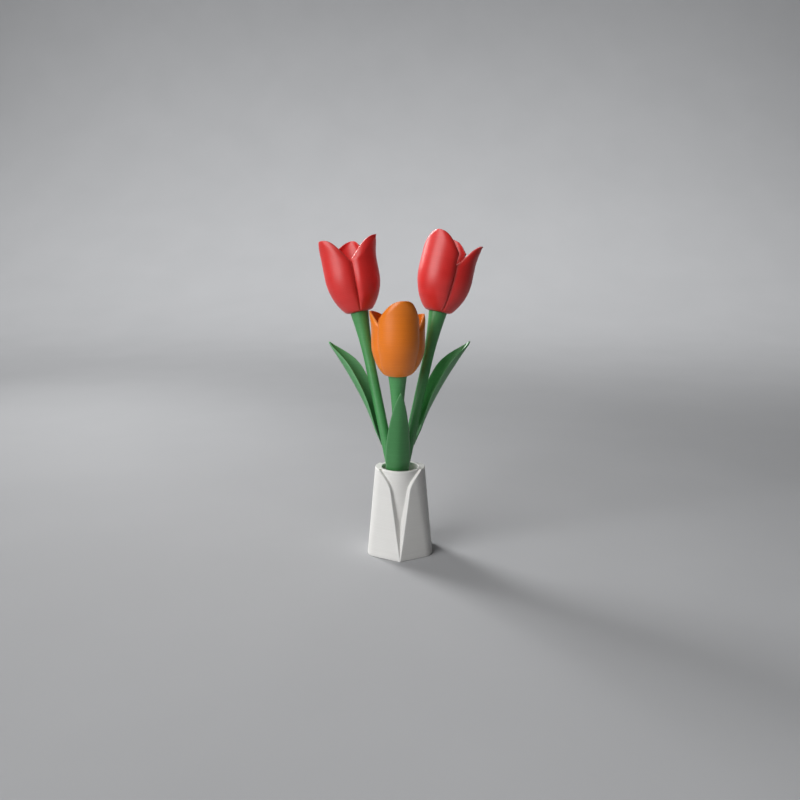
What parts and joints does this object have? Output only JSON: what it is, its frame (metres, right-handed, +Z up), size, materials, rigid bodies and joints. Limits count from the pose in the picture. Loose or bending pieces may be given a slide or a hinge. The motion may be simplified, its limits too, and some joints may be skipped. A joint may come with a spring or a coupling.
{
  "type": "artificial flower arrangement",
  "caption": "Artificial tulips in a small folded vase: printed petals on round green stems with clasping leaves; each flower lifts out of the vase and its head turns on the stem.",
  "frame": {"origin": "centre of the vase's flat underside", "axes": "+Z up, -Y to the front, where the orange tulip stands, +X to the right as seen from the front"},
  "size_m": [0.0989, 0.0641, 0.1947],
  "materials": {
    "white_plastic": "satin, fine level layer lines",
    "green_plastic": "satin, fine level layer lines",
    "red_plastic": "satin, fine level layer lines",
    "orange_plastic": "satin, fine level layer lines"
  },
  "bodies": {
    "vase_body": {"vase": "white_plastic", "stem_holder": "white_plastic"},
    "left_flower": {"left_stem": "green_plastic", "left_leaf": "green_plastic"},
    "left_head": {"left_receptacle": "red_plastic", "left_petal_left": "red_plastic", "left_petal_right": "red_plastic", "left_petal_back": "red_plastic"},
    "right_flower": {"right_stem": "green_plastic", "right_leaf": "green_plastic"},
    "right_head": {"right_receptacle": "red_plastic", "right_petal_front": "red_plastic", "right_petal_right": "red_plastic", "right_petal_back": "red_plastic"},
    "centre_flower": {"centre_stem": "green_plastic", "centre_leaf": "green_plastic"},
    "centre_head": {"centre_receptacle": "orange_plastic", "centre_petal_front": "orange_plastic", "centre_petal_left": "orange_plastic", "centre_petal_right": "orange_plastic"}
  },
  "joints": [
    {"name": "left_lift", "type": "slide", "parent": "vase_body", "child": "left_flower", "axis": [0, 0, 1], "range_m": [0, 0.026]},
    {"name": "left_turn", "type": "hinge", "parent": "left_flower", "child": "left_head", "pos_m": [-0.02448, 0.01332, 0.1457], "axis": [-0.1997, 0.1153, 0.973], "continuous": true},
    {"name": "right_lift", "type": "slide", "parent": "vase_body", "child": "right_flower", "axis": [0, 0, 1], "range_m": [0, 0.026]},
    {"name": "right_turn", "type": "hinge", "parent": "right_flower", "child": "right_head", "pos_m": [0.02294, 0.01405, 0.1457], "axis": [0.2119, 0.1223, 0.9696], "continuous": true},
    {"name": "centre_lift", "type": "slide", "parent": "vase_body", "child": "centre_flower", "axis": [0, 0, 1], "range_m": [0, 0.026]},
    {"name": "centre_turn", "type": "hinge", "parent": "centre_flower", "child": "centre_head", "pos_m": [-0.0014, -0.00749, 0.1105], "axis": [0, -0.0558, 0.9984], "continuous": true}
  ]
}
